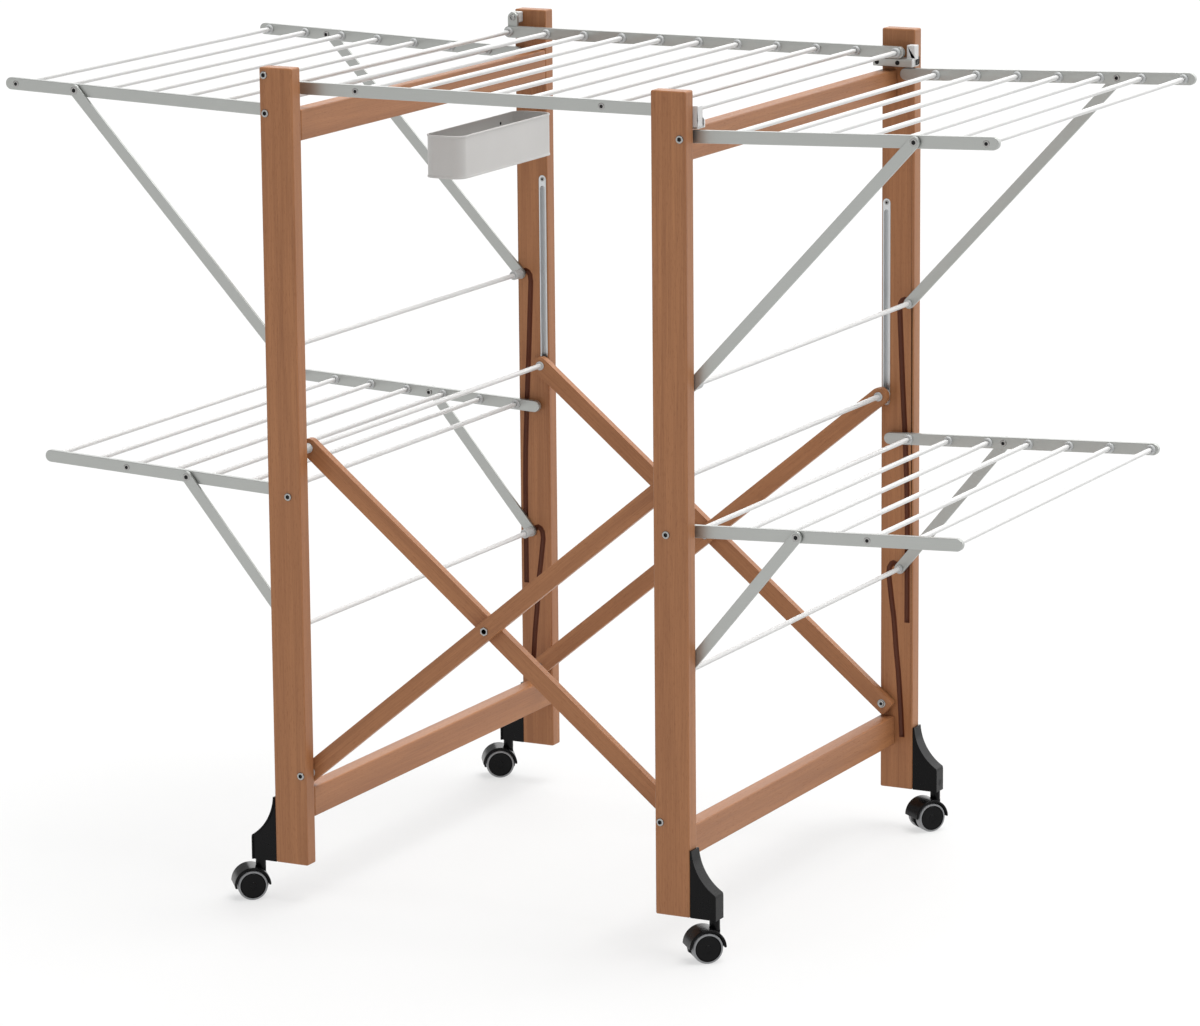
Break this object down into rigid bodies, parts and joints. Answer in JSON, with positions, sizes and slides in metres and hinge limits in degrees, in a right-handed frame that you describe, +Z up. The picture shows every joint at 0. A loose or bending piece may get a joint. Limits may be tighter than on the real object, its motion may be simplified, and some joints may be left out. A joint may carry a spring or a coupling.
{
  "type": "clothes drying rack",
  "caption": "Folding wooden clothes drying rack on swivel casters with fold-down rod wings, a flip-over top grille, crossed slats that close the frame and a peg tray.",
  "frame": {"origin": "centre of the bounding box's underside, on the floor between the casters", "axes": "+X from the left end frame to the right one, +Y from front to back along the rods, +Z up"},
  "size_m": [1.4134, 0.751, 1.1035],
  "materials": {
    "wood": "satin lacquered hardwood, fine vertical grain",
    "silver_metal": "satin silver grey",
    "rod_white": "smooth white coating",
    "channel": "drawn aluminium",
    "bolt": "bright plated",
    "white_plastic": "off-white moulded",
    "black_plastic": "glossy black moulded",
    "tyre": "dark tyre with grey tread ring"
  },
  "bodies": {
    "left_frame": {"post_front_left": "wood", "post_back_left": "wood", "crossbar_top_left": "wood", "crossbar_low_left": "wood", "channel_front_left": "channel", "channel_back_left": "channel", "caster_bracket_front_left": "black_plastic", "caster_bracket_back_left": "black_plastic", "peg_tray": "white_plastic", "hinge_block_front": "white_plastic", "hinge_block_back": "white_plastic"},
    "right_frame": {"post_front_right": "wood", "post_back_right": "wood", "crossbar_top_right": "wood", "crossbar_low_right": "wood", "channel_front_right": "channel", "channel_back_right": "channel", "caster_bracket_front_right": "black_plastic", "caster_bracket_back_right": "black_plastic", "catch_front": "white_plastic", "catch_back": "white_plastic"},
    "slats_b": {"slat_b_front": "wood", "slat_b_back": "wood", "slat_rod_b": "rod_white", "slat_bolt_front": "bolt", "slat_bolt_back": "bolt"},
    "slats_a": {"slat_a_front": "wood", "slat_a_back": "wood", "slat_rod_a": "rod_white"},
    "grille": {"grille_rail_front": "silver_metal", "grille_comb": "silver_metal"},
    "wing_upper_left": {"wing_rail_front_upper_left": "silver_metal", "wing_comb_upper_left": "silver_metal"},
    "struts_upper_left": {"strut_front_upper_left": "silver_metal", "strut_back_upper_left": "silver_metal", "strut_rod_upper_left": "rod_white"},
    "wing_lower_left": {"wing_rail_front_lower_left": "silver_metal", "wing_comb_lower_left": "silver_metal"},
    "struts_lower_left": {"strut_front_lower_left": "silver_metal", "strut_back_lower_left": "silver_metal", "strut_rod_lower_left": "rod_white"},
    "wing_upper_right": {"wing_rail_front_upper_right": "silver_metal", "wing_comb_upper_right": "silver_metal"},
    "struts_upper_right": {"strut_front_upper_right": "silver_metal", "strut_back_upper_right": "silver_metal", "strut_rod_upper_right": "rod_white"},
    "wing_lower_right": {"wing_rail_front_lower_right": "silver_metal", "wing_comb_lower_right": "silver_metal"},
    "struts_lower_right": {"strut_front_lower_right": "silver_metal", "strut_back_lower_right": "silver_metal", "strut_rod_lower_right": "rod_white"},
    "caster_front_left": {"caster_fork_front_left": "black_plastic"},
    "wheel_front_left": {"twin_wheel_front_left": "tyre"},
    "caster_back_left": {"caster_fork_back_left": "black_plastic"},
    "wheel_back_left": {"twin_wheel_back_left": "tyre"},
    "caster_front_right": {"caster_fork_front_right": "black_plastic"},
    "wheel_front_right": {"twin_wheel_front_right": "tyre"},
    "caster_back_right": {"caster_fork_back_right": "black_plastic"},
    "wheel_back_right": {"twin_wheel_back_right": "tyre"}
  },
  "joints": [
    {"name": "fold", "type": "hinge", "parent": "left_frame", "child": "slats_b", "pos_m": [-0.2625, 0.00876, 0.1745], "axis": [0, -1, 0], "range_deg": [0, 48.2]},
    {"name": "slat_cross", "type": "hinge", "parent": "slats_b", "child": "slats_a", "pos_m": [0, 0.00876, 0.39], "axis": [0, 1, 0], "range_deg": [0, 96.4]},
    {"name": "right_frame_turn", "type": "hinge", "parent": "slats_a", "child": "right_frame", "pos_m": [0.2625, 0.00876, 0.1745], "axis": [0, -1, 0], "range_deg": [0, 48.2]},
    {"name": "grille_flip", "type": "hinge", "parent": "left_frame", "child": "grille", "pos_m": [-0.296, 0.00876, 1.0935], "axis": [0, -1, 0], "range_deg": [0, 175]},
    {"name": "wing_upper_left_fold", "type": "hinge", "parent": "left_frame", "child": "wing_upper_left", "pos_m": [-0.295, 0.00876, 1.0445], "axis": [0, -1, 0], "range_deg": [0, 92]},
    {"name": "struts_upper_left_swing", "type": "hinge", "parent": "wing_upper_left", "child": "struts_upper_left", "pos_m": [-0.59781, 0.00876, 1.05507], "axis": [0, 1, 0], "range_deg": [0, 135.5]},
    {"name": "wing_lower_left_fold", "type": "hinge", "parent": "left_frame", "child": "wing_lower_left", "pos_m": [-0.273, 0.00876, 0.5465], "axis": [0, -1, 0], "range_deg": [0, 90.5]},
    {"name": "struts_lower_left_swing", "type": "hinge", "parent": "wing_lower_left", "child": "struts_lower_left", "pos_m": [-0.44084, 0.00876, 0.55383], "axis": [0, 1, 0], "range_deg": [0, 132.12]},
    {"name": "wing_upper_right_fold", "type": "hinge", "parent": "right_frame", "child": "wing_upper_right", "pos_m": [0.295, 0.00876, 1.0445], "axis": [0, 1, 0], "range_deg": [0, 92]},
    {"name": "struts_upper_right_swing", "type": "hinge", "parent": "wing_upper_right", "child": "struts_upper_right", "pos_m": [0.59781, 0.00876, 1.05507], "axis": [0, -1, 0], "range_deg": [0, 135.5]},
    {"name": "wing_lower_right_fold", "type": "hinge", "parent": "right_frame", "child": "wing_lower_right", "pos_m": [0.273, 0.00876, 0.5465], "axis": [0, 1, 0], "range_deg": [0, 90.5]},
    {"name": "struts_lower_right_swing", "type": "hinge", "parent": "wing_lower_right", "child": "struts_lower_right", "pos_m": [0.44084, 0.00876, 0.55383], "axis": [0, -1, 0], "range_deg": [0, 132.12]},
    {"name": "swivel_front_left", "type": "hinge", "parent": "left_frame", "child": "caster_front_left", "pos_m": [-0.333, -0.33724, 0.0535], "axis": [0, 0, 1], "continuous": true},
    {"name": "wheel_front_left_spin", "type": "hinge", "parent": "caster_front_left", "child": "wheel_front_left", "pos_m": [-0.34334, -0.34561, 0.02], "axis": [-0.6293, 0.7771, 0], "continuous": true},
    {"name": "swivel_back_left", "type": "hinge", "parent": "left_frame", "child": "caster_back_left", "pos_m": [-0.333, 0.35476, 0.0535], "axis": [0, 0, 1], "continuous": true},
    {"name": "wheel_back_left_spin", "type": "hinge", "parent": "caster_back_left", "child": "wheel_back_left", "pos_m": [-0.34415, 0.34752, 0.02], "axis": [-0.5446, 0.8387, 0], "continuous": true},
    {"name": "swivel_front_right", "type": "hinge", "parent": "right_frame", "child": "caster_front_right", "pos_m": [0.333, -0.33724, 0.0535], "axis": [0, 0, 1], "continuous": true},
    {"name": "wheel_front_right_spin", "type": "hinge", "parent": "caster_front_right", "child": "wheel_front_right", "pos_m": [0.32312, -0.34614, 0.02], "axis": [-0.6691, 0.7431, 0], "continuous": true},
    {"name": "swivel_back_right", "type": "hinge", "parent": "right_frame", "child": "caster_back_right", "pos_m": [0.333, 0.35476, 0.0535], "axis": [0, 0, 1], "continuous": true},
    {"name": "wheel_back_right_spin", "type": "hinge", "parent": "caster_back_right", "child": "wheel_back_right", "pos_m": [0.32481, 0.34428, 0.02], "axis": [-0.788, 0.6157, 0], "continuous": true}
  ],
  "couplings": [
    {"joint": "slat_cross", "follows": "fold", "ratio": 2},
    {"joint": "right_frame_turn", "follows": "fold", "ratio": 1},
    {"joint": "struts_lower_left_swing", "follows": "wing_lower_left_fold", "ratio": 1.4593},
    {"joint": "struts_lower_right_swing", "follows": "wing_lower_right_fold", "ratio": 1.4593}
  ]
}
